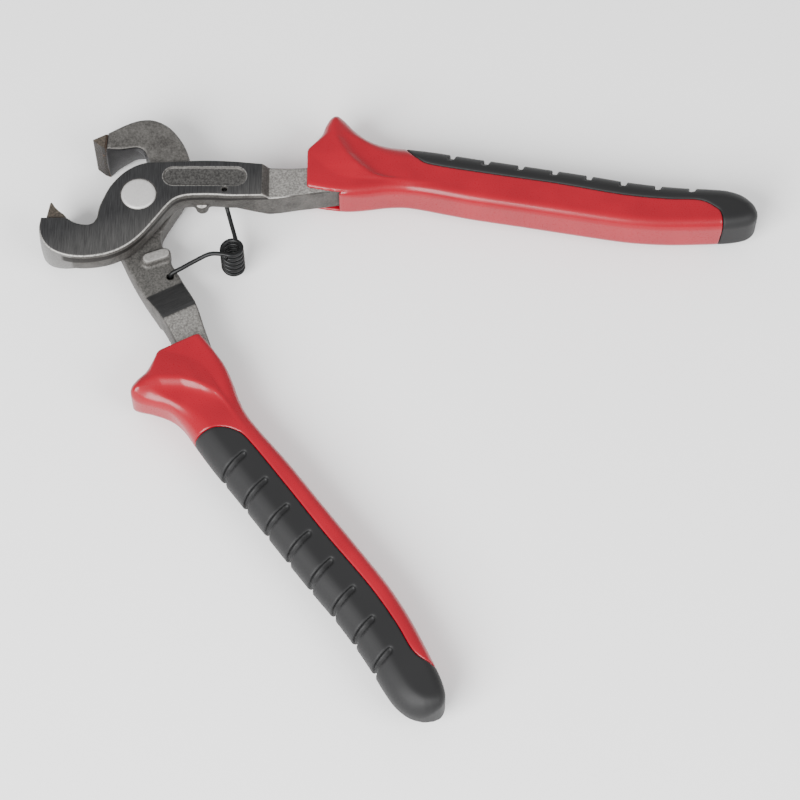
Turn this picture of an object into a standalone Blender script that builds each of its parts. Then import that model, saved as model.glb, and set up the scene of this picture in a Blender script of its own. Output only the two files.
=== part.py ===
"""Tile nippers: two forged levers that cross at a riveted lap joint, with brazed carbide tips,
a torsion return spring and two-part moulded grips.

Units are metres, +Z up.  The tool lies flat, handles open.  The origin is on the rivet's axis, at
the flat face of the rivet's lower head.  Each lever is drawn in its own handle frame: +X runs down
the handle, +Y is the outer side of the grip, and z = 0 is the lap plane where the levers meet.
The rear lever's frame is the front one turned over about X, so both share one set of outlines.
"""

import math

import bmesh
import bpy
from mathutils import Matrix, Vector

MM = 0.001

# Driving dimensions, in millimetres and degrees.
OPEN_ANGLE = 63.0        # between the two handle frames with the spring relaxed
HUB_HALF = 8.2           # from the lap plane to a lever's ground outer face
LAP_GAP = 0.15           # each lever stands this far off the lap plane
HUB_CLEARANCE = 13.0     # round the rivet, neither jaw may thicken past the lap plane
HEAD_PROUD = 0.4         # the rivet's heads stand this far out of the ground faces
RIVET_RADIUS = 4.5
RIVET_HEAD_RADIUS = 5.5
RIVET_HEAD_DEPTH = 1.6
RUNNING_FIT = 0.08       # radial clearance of the turning joint
PLAY = 0.3               # gap between pieces that don't move on each other

FRONT_TIP_RADIUS = 27.4  # cutting edge from the rivet's axis
REAR_TIP_RADIUS = 25.9
TIP_LOW = -10.2          # both cutting edges run between these heights
TIP_HIGH = 7.2
FRONT_TIP_ANGLE = 185.3  # direction of the cutting edge in the lever's own frame
REAR_TIP_ANGLE = 170.3
FRONT_TIP_TURN = 0.0     # how far the insert's seat is turned in that frame
REAR_TIP_TURN = 30.0
# The steel seat under each insert: its depth below the cutting edge, and its outer and inner ends.
FRONT_SEAT = (5.9, -2.9, 5.0)
REAR_SEAT = (4.6, -3.0, 2.8)
# Each insert from its cutting edge: down its outer face, and back up its inner one.
FRONT_INSERT_OUTER = [(0, 0), (-0.35, 0.3), (-1.2, 5.3)]
FRONT_INSERT_INNER = [(4.9, 5.3), (3.9, 4.2), (2.5, 3.1), (1.2, 1.7), (0.35, 0.3)]
REAR_INSERT_OUTER = [(0, 0), (-0.3, 0.5), (-2.35, 4.0)]
REAR_INSERT_INNER = [(2.65, 4.0), (2.2, 2.9), (1.3, 1.6), (0.35, 0.35)]
BRAZE = 0.5              # thickness of the braze layer
BRAZE_GAP = 0.05

NECK_HIGH = 5.8          # the neck and tang lie between these heights
NECK_LOW = -4.0
TANG_END = 150.0

GRIP_HALF_THICK = 7.2
GRIP_EXPONENT = 3.2      # squareness of the grip's section
CUSHION_TILT = 0.38      # the cushion's border leans across the grip by this much per millimetre
GROOVES = 8
GROOVE_FIRST = 99.4
GROOVE_PITCH = 10.8
GROOVE_RADIUS = 1.2
GROOVE_DEPTH = 0.9
GROOVE_REACH = 7.2       # down the broad face from the outer edge
GROOVE_LEAN = 0.3

SPRING_HOLE = (26.9, 1.9)
WIRE_RADIUS = 0.7
COIL_RADIUS = 3.1       # to the middle of the wire
LEG_SAG = -0.7           # the front leg bows this much away from the lever's neck
COIL_TURNS = 5           # whole turns, besides the part turn between the legs
COIL_PITCH = 2.3
LEG_LENGTH = 20.2        # from a spring hole to the coil's axis
FRONT_HOLE_RADIUS = 0.9
# Loose, and off the wire's place at rest, because the wire wanders as the handles close.
REAR_HOLE_RADIUS = 1.15
REAR_HOLE_SHIFT = (0.12, 0.31)

STOP_BOSS_HEIGHT = 2.1


# ---------------------------------------------------------------- scene and materials

def clear_scene():
    for obj in list(bpy.data.objects):
        bpy.data.objects.remove(obj, do_unlink=True)


def new_collection(name):
    collection = bpy.data.collections.new(name)
    bpy.context.scene.collection.children.link(collection)
    return collection


def material(name, colour, metallic, roughness):
    made = bpy.data.materials.new(name)
    made.use_nodes = True
    shader = made.node_tree.nodes["Principled BSDF"]
    shader.inputs["Base Color"].default_value = (*colour, 1.0)
    shader.inputs["Metallic"].default_value = metallic
    shader.inputs["Roughness"].default_value = roughness
    return made


def frame_empty(name, location, rotation, parent=None):
    empty = bpy.data.objects.new(name, None)
    PARTS.objects.link(empty)
    empty.location = location
    empty.rotation_euler = rotation
    empty.parent = parent
    return empty


def add_object(name, mesh, collection):
    obj = bpy.data.objects.new(name, mesh)
    collection.objects.link(obj)
    return obj


def finish_part(obj, parent, look):
    obj.parent = parent
    obj.data.materials.clear()
    obj.data.materials.append(look)
    obj.data.shade_smooth()
    obj.data.set_sharp_from_angle(angle=math.radians(32))
    return obj


# ---------------------------------------------------------------- outlines

def flowing(knots, steps=4):
    """A smooth open run through the knots (Catmull-Rom), as a list of points."""
    if len(knots) < 3:
        return [Vector(k) for k in knots]
    points = [Vector(k) for k in knots]
    padded = [2 * points[0] - points[1]] + points + [2 * points[-1] - points[-2]]
    run = []
    for i in range(len(points) - 1):
        a, b, c, d = padded[i:i + 4]
        for step in range(steps):
            t = step / steps
            run.append(0.5 * (2 * b + (c - a) * t + (2 * a - 5 * b + 4 * c - d) * t * t
                              + (3 * b - a - 3 * c + d) * t * t * t))
    run.append(points[-1])
    return run


def polar(radius, degrees):
    angle = math.radians(degrees)
    return Vector((radius * math.cos(angle), radius * math.sin(angle)))


def turned(point, degrees):
    return Matrix.Rotation(math.radians(degrees), 2) @ Vector(point)


def tip_point(edge, turn, across, along):
    """A point of an insert's profile: across the seat from the cutting edge, and towards the seat."""
    return edge + turned((across, -along), turn)


# ---------------------------------------------------------------- solids

def prism(name, outline, low, high, collection=None):
    """A flat outline, extruded between two heights.  It is a filled 2D curve made into a closed mesh."""
    curve = bpy.data.curves.new(name + "_outline", "CURVE")
    curve.dimensions = "2D"
    curve.fill_mode = "BOTH"
    curve.extrude = (high - low) / 2 * MM
    spline = curve.splines.new("POLY")
    spline.points.add(len(outline) - 1)
    for slot, point in zip(spline.points, outline):
        slot.co = (point[0] * MM, point[1] * MM, 0, 1)
    spline.use_cyclic_u = True
    guide = add_object(name + "_guide", curve, CUTTERS)
    mesh = bpy.data.meshes.new_from_object(guide.evaluated_get(bpy.context.evaluated_depsgraph_get()))
    bpy.data.objects.remove(guide)
    mesh.name = name
    shape = bmesh.new()
    shape.from_mesh(mesh)
    bmesh.ops.remove_doubles(shape, verts=shape.verts, dist=1e-6)
    bmesh.ops.translate(shape, verts=shape.verts, vec=(0, 0, (low + high) / 2 * MM))
    bmesh.ops.recalc_face_normals(shape, faces=shape.faces)
    shape.to_mesh(mesh)
    shape.free()
    return add_object(name, mesh, collection or PARTS)


def upright_prism(name, profile, right, left, degrees=0.0):
    """A side profile (along, height) extruded to the right and left of its run, then turned about Z."""
    cutter = prism(name, profile, -left, right, CUTTERS)
    upright = Matrix.Rotation(math.pi / 2, 4, "X")
    cutter.data.transform(Matrix.Rotation(math.radians(degrees), 4, "Z") @ upright)
    return cutter


def cylinder(name, centre, radius, low, high, sides=32, collection=None):
    mesh = bpy.data.meshes.new(name)
    shape = bmesh.new()
    bmesh.ops.create_cone(shape, cap_ends=True, segments=sides, radius1=radius * MM, radius2=radius * MM,
                          depth=(high - low) * MM)
    bmesh.ops.translate(shape, verts=shape.verts, vec=(centre[0] * MM, centre[1] * MM, (low + high) / 2 * MM))
    shape.to_mesh(mesh)
    shape.free()
    return add_object(name, mesh, collection or CUTTERS)


def apply_boolean(obj, other, operation="DIFFERENCE"):
    """Cuts or joins, and leaves the result as the object's own mesh."""
    change = obj.modifiers.new(operation.lower(), "BOOLEAN")
    change.operation = operation
    change.object = other
    change.solver = "EXACT"
    bpy.context.view_layer.update()
    mesh = bpy.data.meshes.new_from_object(obj.evaluated_get(bpy.context.evaluated_depsgraph_get()))
    obj.modifiers.clear()
    old = obj.data
    obj.data = mesh
    bpy.data.meshes.remove(old)
    bpy.data.objects.remove(other)
    return obj


def copy_of(obj, name, collection=None):
    twin = add_object(name, obj.data.copy(), collection or CUTTERS)
    return twin


# ---------------------------------------------------------------- levers

INNER_EDGE = [(TANG_END, -4.6), (130, -1.2), (110, 2.0), (90, 4.2), (72, 4.0), (60, 2.4), (50, 1.0),
              (42, -0.2), (31, -0.5), (23, 0.0), (16.5, -0.1), (13.2, -0.7), (10.8, -2.0), (8.5, -4.6),
              (5.8, -8.5)]
OUTER_EDGE = [(2.6, 12.0), (10, 12.2), (20, 12.6), (29, 12.3), (38, 11.5), (48, 11.1), (60, 12.0), (74, 13.4),
              (90, 12.6), (110, 9.8), (130, 6.2), (TANG_END, 2.6)]
HUB_SIDE = [(-12.6, -8.4), (-12.1, -4.8), (-10.8, -1.0), (-8.8, 3.4), (-5.2, 7.9), (-1.2, 10.7), (2.6, 12.0)]
FRONT_JAW_BACK = [(5.8, -8.5), (1.2, -14.6), (-3.4, -18.8), (-9.0, -21.5), (-15.6, -22.6), (-21.6, -22.1),
                  (-26.4, -20.0), (-29.3, -16.6), (-30.5, -12.4), (-30.3, -8.8)]
FRONT_THROAT = [(-19.6, -10.2), (-16.2, -11.0), (-13.9, -10.4), (-12.6, -8.4)]
REAR_JAW_BACK = [(5.8, -8.5), (2.6, -13.0), (-1.6, -17.6), (-5.6, -19.9), (-9.6, -20.6), (-14.6, -20.4),
                 (-19.6, -19.1), (-23.6, -16.2), (-25.6, -12.4), (-26.2, -7.6), (-26.1, -2.0)]
REAR_THROAT = [(-19.9, -0.8), (-18.9, -4.2), (-18.4, -7.2), (-16.8, -9.6), (-14.6, -10.2), (-12.6, -8.4)]


def lap_cutters(name, jaw_degrees, flare):
    """What the lap joint takes off a lever's inner side: hub and neck first, then hub and jaw."""
    neck = [(3, LAP_GAP), (30.5, LAP_GAP), (40.5, NECK_LOW), (170, NECK_LOW), (170, -30), (3, -30)]
    jaw = [(-24, LAP_GAP)] + flare + [(40, flare[-1][1]), (40, -30), (-24, -30)]
    return (upright_prism(name + "_neck_lap", neck, 40, 40),
            upright_prism(name + "_jaw_lap", jaw, 16, 40, jaw_degrees),
            cylinder(name + "_hub_lap", (0, 0), HUB_CLEARANCE, -30, LAP_GAP, 48))


def outer_face_cutter(name):
    """The neck steps down from the ground hub face to the forged surface of the handle."""
    profile = [(38.0, 30), (38.2, HUB_HALF - 0.4), (40.2, NECK_HIGH + 0.2), (41.5, NECK_HIGH),
               (170, NECK_HIGH), (170, 30)]
    return upright_prism(name + "_step", profile, 40, 40)


def make_lever(name, jaw_back, throat, edge, turn, seat, jaw_degrees, flare, high):
    depth, outer_end, inner_end = seat
    corner_out = tip_point(edge, turn, outer_end, depth)
    corner_in = tip_point(edge, turn, inner_end, depth)
    outline = flowing(INNER_EDGE)[:-1] + flowing(jaw_back[:-1] + [corner_out])
    outline += flowing([corner_in] + throat)[:-1] + flowing(HUB_SIDE)[:-1] + flowing(OUTER_EDGE)
    lever = prism(name, outline, flare[-1][1], high)
    for cutter in lap_cutters(name, jaw_degrees, flare):
        apply_boolean(lever, cutter)
    apply_boolean(lever, outer_face_cutter(name))
    if high > HUB_HALF:
        thickening = [(-60, HUB_HALF), (4, HUB_HALF), (8, HUB_HALF + 0.5), (13, high), (40, high), (40, 30),
                      (-60, 30)]
        apply_boolean(lever, upright_prism(name + "_outer_flare", thickening, 60, 60, 123.8))
    apply_boolean(lever, cylinder(name + "_bore", (0, 0), RIVET_RADIUS + RUNNING_FIT, -20, 20, 64))
    apply_boolean(lever, cylinder(name + "_head_seat", (0, 0), RIVET_HEAD_RADIUS + RUNNING_FIT,
                                  HUB_HALF + HEAD_PROUD - RIVET_HEAD_DEPTH - 0.1, 20, 64))
    return lever


def stop_boss(name):
    """An oval pad on the lap side of the neck.  The two pads stop the handles as they close."""
    half_length = 2.65
    radius = 2.1
    ring = [Vector((radius * math.cos(a), half_length + radius * math.sin(a)))
            for a in (math.pi * i / 8 for i in range(9))]
    ring += [-point for point in ring]
    centre = Vector((19.2, 3.3))
    lean = 6.0
    outline = [centre + turned(point, lean) for point in ring]
    return prism(name, outline, -STOP_BOSS_HEIGHT, 2.0, CUTTERS)


def make_front_lever():
    edge = polar(FRONT_TIP_RADIUS, FRONT_TIP_ANGLE)
    flare = [(0, LAP_GAP), (6, -3.0), (12, -6.6), (14, TIP_LOW)]
    lever = make_lever("front_lever", FRONT_JAW_BACK, FRONT_THROAT, edge, FRONT_TIP_TURN, FRONT_SEAT, 139.4,
                       flare, HUB_HALF)
    apply_boolean(lever, stop_boss("front_boss"), "UNION")
    panel = rounded_slot("front_panel", (10.8, 6.8), (30.3, 6.5), 3.2, HUB_HALF - 0.45, 20)
    apply_boolean(lever, panel)
    apply_boolean(lever, cylinder("front_spring_hole", SPRING_HOLE, FRONT_HOLE_RADIUS, -20, 20, 24))
    return finish_part(lever, FRONT, STEEL)


def make_rear_lever():
    edge = polar(REAR_TIP_RADIUS, REAR_TIP_ANGLE)
    # In this turned-over frame the insert's heights change sign.
    flare = [(12.6, LAP_GAP), (13.2, -TIP_HIGH), (14, -TIP_HIGH)]
    lever = make_lever("rear_lever", REAR_JAW_BACK, REAR_THROAT, edge, REAR_TIP_TURN, REAR_SEAT, 205.1, flare,
                       -TIP_LOW)
    apply_boolean(lever, stop_boss("rear_boss"), "UNION")
    hole = Vector(SPRING_HOLE) + Vector(REAR_HOLE_SHIFT)
    apply_boolean(lever, cylinder("rear_spring_hole", hole, REAR_HOLE_RADIUS, -20, 20, 24))
    return finish_part(lever, REAR, STEEL)


def rounded_slot(name, start, end, radius, low, high):
    start, end = Vector(start), Vector(end)
    along = math.atan2(end.y - start.y, end.x - start.x)
    outline = []
    for centre, first in ((end, along - math.pi / 2), (start, along + math.pi / 2)):
        for i in range(9):
            angle = first + math.pi * i / 8
            outline.append(centre + radius * Vector((math.cos(angle), math.sin(angle))))
    return prism(name, outline, low, high, CUTTERS)


# ---------------------------------------------------------------- rivet, inserts, braze

def make_rivet():
    """One turned piece: shank and two flat heads, as a profile swept round Z."""
    top = HUB_HALF + HEAD_PROUD
    under = top - RIVET_HEAD_DEPTH
    profile = [(0, top), (RIVET_HEAD_RADIUS - 0.5, top), (RIVET_HEAD_RADIUS, top - 0.5),
               (RIVET_HEAD_RADIUS, under),
               (RIVET_RADIUS, under), (RIVET_RADIUS, -under), (RIVET_HEAD_RADIUS, -under),
               (RIVET_HEAD_RADIUS, 0.5 - top), (RIVET_HEAD_RADIUS - 0.5, -top), (0, -top)]
    mesh = bpy.data.meshes.new("pivot_rivet")
    edges = [(i, i + 1) for i in range(len(profile) - 1)]
    mesh.from_pydata([(r * MM, 0, z * MM) for r, z in profile], edges, [])
    rivet = add_object("pivot_rivet", mesh, PARTS)
    sweep = rivet.modifiers.new("turned", "SCREW")
    sweep.steps = 64
    sweep.render_steps = 64
    sweep.use_merge_vertices = True
    sweep.merge_threshold = 0.00001
    bpy.context.view_layer.update()
    solid = bpy.data.meshes.new_from_object(rivet.evaluated_get(bpy.context.evaluated_depsgraph_get()))
    rivet.modifiers.clear()
    rivet.data = solid
    return finish_part(rivet, LAP, BRIGHT_STEEL)


def make_insert(name, edge, turn, outer_face, inner_face, low, high, parent):
    """The carbide insert: a steep outer face, a bevelled inner one, and a flat seat."""
    outline = [tip_point(edge, turn, across, along) for across, along in outer_face + inner_face]
    return finish_part(prism(name, outline, low, high), parent, CARBIDE)


def make_braze(name, edge, turn, depth, outer_face, inner_face, low, high, parent):
    """A flat layer under the insert, a little proud of its faces."""
    upper = depth - BRAZE - BRAZE_GAP
    lower = depth - BRAZE_GAP
    left = outer_face[-1][0] - 0.05
    right = inner_face[0][0] + 0.05
    profile = [(left, upper), (left, lower), (right, lower), (right, upper)]
    outline = [tip_point(edge, turn, across, along) for across, along in profile]
    return finish_part(prism(name, outline, low, high), parent, COPPER)


# ---------------------------------------------------------------- grips

GRIP_OUTER = [(50.6, 15.4), (52.6, 17.7), (55.0, 20.4), (57.1, 23.7), (58.5, 27.3), (60.2, 29.9),
              (62.4, 30.8), (65.0, 29.9), (68.0, 27.0), (72.0, 23.6), (77.0, 21.4), (84.0, 20.3), (94.0, 18.9),
              (104.0, 17.0), (124.0, 13.5),
              (143.0, 10.1), (153.0, 8.1), (163.0, 6.6), (172.0, 5.7), (180.0, 5.3), (186.0, 4.7)]
GRIP_INNER = [(50.6, 3.9), (54.0, 3.2), (60.0, 2.0), (66.0, 1.2), (72.0, 1.6), (78.0, 2.4), (84.0, 2.5),
              (91.0, 1.4), (98.0, -0.1), (106.0, -1.8), (121.0, -4.4), (136.0, -7.1), (151.0, -9.7),
              (159.0, -10.6), (167.0, -11.0),
              (175.0, -10.9), (181.0, -10.7), (186.0, -10.4)]
GRIP_THICK = [(50.6, 6.85), (61.0, 7.7), (66.0, 7.4), (72.0, 6.95), (80.0, 7.1), (90.0, 7.2)]
GRIP_END = 194.7
SECTION_POINTS = 24


def height_at(run, x):
    """Reads the y of a smooth run at a given x."""
    for (x0, y0), (x1, y1) in zip(run, run[1:]):
        if x0 <= x <= x1:
            return y0 + (y1 - y0) * (x - x0) / max(x1 - x0, 1e-9)
    return run[-1][1]


def grip_section(x, outer, inner, half_thick):
    """A rounded-square section across the handle, as points round the grip."""
    middle, half_width = (outer + inner) / 2, (outer - inner) / 2
    ring = []
    for i in range(SECTION_POINTS):
        angle = 2 * math.pi * (i + 0.5) / SECTION_POINTS
        c, s = math.cos(angle), math.sin(angle)
        scale = (abs(c) ** GRIP_EXPONENT + abs(s) ** GRIP_EXPONENT) ** (-1 / GRIP_EXPONENT)
        ring.append((x * MM, (middle + half_width * c * scale) * MM, half_thick * s * scale * MM))
    return ring


def grip_solid(name):
    """The whole grip as one loft: the guard at the front, a waist, and a rounded end."""
    outer_run = [tuple(p) for p in flowing(GRIP_OUTER)]
    inner_run = [tuple(p) for p in flowing(GRIP_INNER)]
    straight = GRIP_OUTER[-1][0]
    stations = [50.6, 51.4, 52.6, 54, 55.2, 56.4, 57.6, 59, 61.4, 63.5, 66, 69, 72, 76, 80, 84, 90, 98,
                106, 114,
                122, 130, 138, 146, 154, 162, 170, 178, straight]
    rings = []
    for x in stations:
        half_thick = height_at(GRIP_THICK, x)
        rings.append(grip_section(x, height_at(outer_run, x), height_at(inner_run, x), half_thick))
    outer_end, inner_end = height_at(outer_run, straight), height_at(inner_run, straight)
    middle, half_width = (outer_end + inner_end) / 2, (outer_end - inner_end) / 2
    for i in range(1, 6):
        angle = math.pi / 2 * i / 6
        x = straight + (GRIP_END - straight) * math.sin(angle)
        shrink = math.cos(angle) ** 0.7
        rings.append(grip_section(x, middle + half_width * shrink, middle - half_width * shrink,
                                  GRIP_HALF_THICK * shrink))
    mesh = bpy.data.meshes.new(name)
    shape = bmesh.new()
    loops = [[shape.verts.new(point) for point in ring] for ring in rings]
    for first, second in zip(loops, loops[1:]):
        for i in range(SECTION_POINTS):
            j = (i + 1) % SECTION_POINTS
            shape.faces.new((first[i], first[j], second[j], second[i]))
    shape.faces.new(list(reversed(loops[0])))
    shape.faces.new(loops[-1])
    bmesh.ops.recalc_face_normals(shape, faces=shape.faces)
    shape.to_mesh(mesh)
    shape.free()
    return add_object(name, mesh, PARTS)


TANG_POCKET_INNER = [(TANG_END + 0.6, -5.0), (130, -1.6), (110, 1.6), (90, 3.8), (72, 3.6), (63, 2.5)]
TANG_POCKET_OUTER = [(63, 12.8), (74, 13.8), (90, 13.0), (110, 10.2), (130, 6.6), (TANG_END + 0.6, 3.0)]
FRONT_MOUTH = [(63, 2.5), (63, -6), (40, -6), (40, 11.6), (50, 11.5), (60, 12.4), (63, 12.8)]
CUSHION_BORDER = [(84.0, 30.0), (84.1, 19.0), (85.4, 14.2), (88.4, 10.9), (93.0, 8.9), (111.4, 5.5),
                  (131.5, 2.1),
                  (152.0, -2.3), (166.0, -3.8), (176.0, -4.2), (180.8, -6.6), (182.6, -9.6), (182.8, -20.0)]


def tang_pocket(name):
    """Room for the tang, open at the front and, between the two cheeks, on the inner side."""
    mouth = [Vector(p) for p in FRONT_MOUTH[:-1]]
    outline = flowing(TANG_POCKET_INNER)[:-1] + mouth + flowing(TANG_POCKET_OUTER)
    return prism(name, outline, NECK_LOW - PLAY, NECK_HIGH + PLAY, CUTTERS)


def cushion_region(name, gap):
    """The outer side and the end of the grip, where the soft cushion is moulded on."""
    border = flowing(CUSHION_BORDER)
    shifted = [point + Vector((gap, gap)) for point in border]
    outline = shifted + [Vector((210, -20)), Vector((210, 30))]
    region = prism(name, outline, -12, 12, CUTTERS)
    for vertex in region.data.vertices:
        vertex.co.y += CUSHION_TILT * vertex.co.z
    return region


def groove(name, x, top, reach):
    """One finger groove: across the cushion's outer side, and on to its broad face with a round end."""
    across = cylinder(name, (x, top + 0.15), GROOVE_RADIUS, -12, 12, 12)
    lean = Vector((GROOVE_LEAN, 1.0)).normalized()
    start = Vector((x, top)) - lean * reach
    end = Vector((x, top)) + lean
    face = rounded_slot(name + "_face", start, end, GROOVE_RADIUS, -12, GROOVE_DEPTH - GRIP_HALF_THICK)
    return across, face


def make_grip(side, parent):
    whole = grip_solid(side + "_grip_shell")
    outer_run = [tuple(p) for p in flowing(GRIP_OUTER)]
    cushion = copy_of(whole, side + "_grip_cushion", PARTS)
    apply_boolean(cushion, cushion_region(side + "_cushion_region", 0.0), "INTERSECT")
    apply_boolean(whole, cushion_region(side + "_shell_cut", -0.15))
    for piece in (whole, cushion):
        apply_boolean(piece, tang_pocket(piece.name + "_pocket"))
    for i in range(GROOVES):
        x = GROOVE_FIRST + GROOVE_PITCH * i
        reach = GROOVE_REACH - 0.35 * max(0, i - 3)
        for cutter in groove(f"{side}_groove_{i}", x, height_at(outer_run, x), reach):
            apply_boolean(cushion, cutter)
    finish_part(whole, parent, RED)
    finish_part(cushion, parent, BLACK)


# ---------------------------------------------------------------- spring

def wire(name, points, parent):
    """A round wire through points in millimetres from the lap centre."""
    curve = bpy.data.curves.new(name, "CURVE")
    curve.dimensions = "3D"
    curve.bevel_depth = WIRE_RADIUS * MM
    curve.bevel_resolution = 2
    curve.use_fill_caps = True
    spline = curve.splines.new("POLY")
    spline.points.add(len(points) - 1)
    for slot, point in zip(spline.points, points):
        slot.co = (*(Vector(point) * MM - parent.location), 1)
    guide = add_object(name + "_guide", curve, CUTTERS)
    mesh = bpy.data.meshes.new_from_object(guide.evaluated_get(bpy.context.evaluated_depsgraph_get()))
    bpy.data.objects.remove(guide)
    shape = bmesh.new()
    shape.from_mesh(mesh)
    bmesh.ops.remove_doubles(shape, verts=shape.verts, dist=1e-6)
    bmesh.ops.recalc_face_normals(shape, faces=shape.faces)
    shape.to_mesh(mesh)
    shape.free()
    return finish_part(add_object(name, mesh, PARTS), parent, SPRING_STEEL)


def coil_centre():
    """The coil's axis: on the middle line between the handles, a leg's length from each spring hole."""
    hole = Vector(SPRING_HOLE)
    middle = polar(1, -OPEN_ANGLE / 2)
    along = hole.dot(middle)
    aside = (hole - along * middle).length
    return (along + math.sqrt(LEG_LENGTH ** 2 - aside ** 2)) * middle


def rear_hole():
    return turned((SPRING_HOLE[0], -SPRING_HOLE[1]), -OPEN_ANGLE)


def make_spring():
    """One wire, wound clockwise and upwards.  It is split near its end, where the rear leg's turn begins,
    so that the two legs can turn about the coil's axis."""
    centre = coil_centre()
    front_hole = Vector(SPRING_HOLE)
    back_hole = rear_hole()
    out = front_hole - centre
    first = math.degrees(math.atan2(out.y, out.x) - math.acos(COIL_RADIUS / out.length))
    sweep = 360 * COIL_TURNS + first + 102
    half_height = COIL_PITCH * sweep / 720

    def rim(swept):
        spot = centre + polar(COIL_RADIUS, first - swept)
        return Vector((*spot, COIL_PITCH * swept / 360 - half_height))

    def winding(start, end, steps):
        return [rim(start + (end - start) * i / steps) for i in range(steps + 1)]

    joint = sweep - 338
    coil = winding(0, joint - 12, 18 * (COIL_TURNS - 1) + 6)
    hook = [(*front_hole, 7.4), (*front_hole, -0.1), (*front_hole, -0.6)]
    start = Vector((*(front_hole + Vector((0.12, -0.5))), -1.1))
    leg = [start + (coil[0] - start) * share + Vector((0, 0, LEG_SAG * math.sin(math.pi * share)))
           for share in (0, 0.25, 0.5, 0.75, 1)]
    wire("spring_coil", [Vector(p) for p in hook] + leg[:-1] + coil, FRONT_SPRING)

    ring = winding(joint, sweep, 18)
    leg = flowing([ring[-1], (26.2, -20.4, 5.8), (22.6, -20.2, 5.2), (18.3, -21.6, 3.6), (14.1, -23.4, 2.2),
                   (*(back_hole + Vector((0.6, 0.3))), 1.05)])
    hook = [(*back_hole, 0.4), (*back_hole, -0.2), (*back_hole, -6.0)]
    wire("spring_rear_leg", ring + leg[1:] + [Vector(p) for p in hook], REAR_SPRING)


# ---------------------------------------------------------------- assembly

clear_scene()
PARTS = new_collection("tile_nippers")
CUTTERS = new_collection("cutters")
STEEL = material("forged_steel", (0.22, 0.215, 0.21), 0.9, 0.5)
BRIGHT_STEEL = material("rivet_steel", (0.6, 0.59, 0.58), 1.0, 0.35)
CARBIDE = material("carbide", (0.13, 0.1, 0.085), 0.8, 0.45)
COPPER = material("braze", (0.45, 0.2, 0.1), 1.0, 0.4)
SPRING_STEEL = material("spring_steel", (0.03, 0.032, 0.033), 0.7, 0.35)
RED = material("red_plastic", (0.6, 0.02, 0.035), 0.0, 0.3)
BLACK = material("black_cushion", (0.03, 0.03, 0.03), 0.0, 0.6)

LAP = frame_empty("lap_centre", (0, 0, (HUB_HALF + HEAD_PROUD) * MM), (0, 0, 0))
FRONT = frame_empty("front_frame", (0, 0, 0), (0, 0, 0), LAP)
REAR = frame_empty("rear_frame", (0, 0, 0), (math.pi, 0, -math.radians(OPEN_ANGLE)), LAP)
FRONT_SPRING = frame_empty("front_spring_frame", Vector((*SPRING_HOLE, 0)) * MM, (0, 0, 0), LAP)
REAR_SPRING = frame_empty("rear_spring_frame", Vector((*coil_centre(), 0)) * MM, (0, 0, 0), LAP)

make_front_lever()
make_rear_lever()
make_rivet()
FRONT_EDGE = polar(FRONT_TIP_RADIUS, FRONT_TIP_ANGLE)
REAR_EDGE = polar(REAR_TIP_RADIUS, REAR_TIP_ANGLE)
make_insert("front_carbide_tip", FRONT_EDGE, FRONT_TIP_TURN, FRONT_INSERT_OUTER, FRONT_INSERT_INNER,
            TIP_LOW, TIP_HIGH, FRONT)
make_insert("rear_carbide_tip", REAR_EDGE, REAR_TIP_TURN, REAR_INSERT_OUTER, REAR_INSERT_INNER,
            -TIP_HIGH, -TIP_LOW, REAR)
make_braze("front_braze_layer", FRONT_EDGE, FRONT_TIP_TURN, FRONT_SEAT[0], FRONT_INSERT_OUTER,
           FRONT_INSERT_INNER, TIP_LOW + 0.1, TIP_HIGH - 0.1, FRONT)
make_braze("rear_braze_layer", REAR_EDGE, REAR_TIP_TURN, REAR_SEAT[0], REAR_INSERT_OUTER,
           REAR_INSERT_INNER, -TIP_HIGH + 0.1, -TIP_LOW - 0.1, REAR)
make_grip("front", FRONT)
make_grip("rear", REAR)
make_spring()
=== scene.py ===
import math

import bmesh
import bpy
import numpy as np
from mathutils import Matrix, Vector


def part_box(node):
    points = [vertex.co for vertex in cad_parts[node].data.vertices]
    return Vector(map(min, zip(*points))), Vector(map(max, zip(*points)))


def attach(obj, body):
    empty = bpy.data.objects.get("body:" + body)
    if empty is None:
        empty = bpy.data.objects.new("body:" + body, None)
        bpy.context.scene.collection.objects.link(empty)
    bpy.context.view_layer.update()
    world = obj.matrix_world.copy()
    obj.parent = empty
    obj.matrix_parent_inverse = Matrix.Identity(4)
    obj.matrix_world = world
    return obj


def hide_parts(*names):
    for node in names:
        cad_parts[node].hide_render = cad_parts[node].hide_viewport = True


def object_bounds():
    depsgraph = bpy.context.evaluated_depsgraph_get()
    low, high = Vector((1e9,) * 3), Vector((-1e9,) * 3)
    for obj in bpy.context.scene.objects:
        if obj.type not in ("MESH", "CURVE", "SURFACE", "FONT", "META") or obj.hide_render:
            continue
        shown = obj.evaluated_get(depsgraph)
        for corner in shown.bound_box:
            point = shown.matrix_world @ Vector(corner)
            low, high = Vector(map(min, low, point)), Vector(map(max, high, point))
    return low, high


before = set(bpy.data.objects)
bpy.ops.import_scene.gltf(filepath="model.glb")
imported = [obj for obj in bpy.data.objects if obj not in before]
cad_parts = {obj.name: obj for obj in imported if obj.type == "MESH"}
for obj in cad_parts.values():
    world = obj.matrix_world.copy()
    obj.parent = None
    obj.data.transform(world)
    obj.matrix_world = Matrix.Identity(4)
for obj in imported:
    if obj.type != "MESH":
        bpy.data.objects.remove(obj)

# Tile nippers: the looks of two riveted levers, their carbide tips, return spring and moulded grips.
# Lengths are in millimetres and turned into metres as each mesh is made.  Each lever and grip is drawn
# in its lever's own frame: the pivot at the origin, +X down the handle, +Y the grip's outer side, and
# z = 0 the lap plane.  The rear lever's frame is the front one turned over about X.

CAD_BOX = [list(corner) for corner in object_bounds()]
MM = 0.001
SCENE = bpy.context.scene
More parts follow.
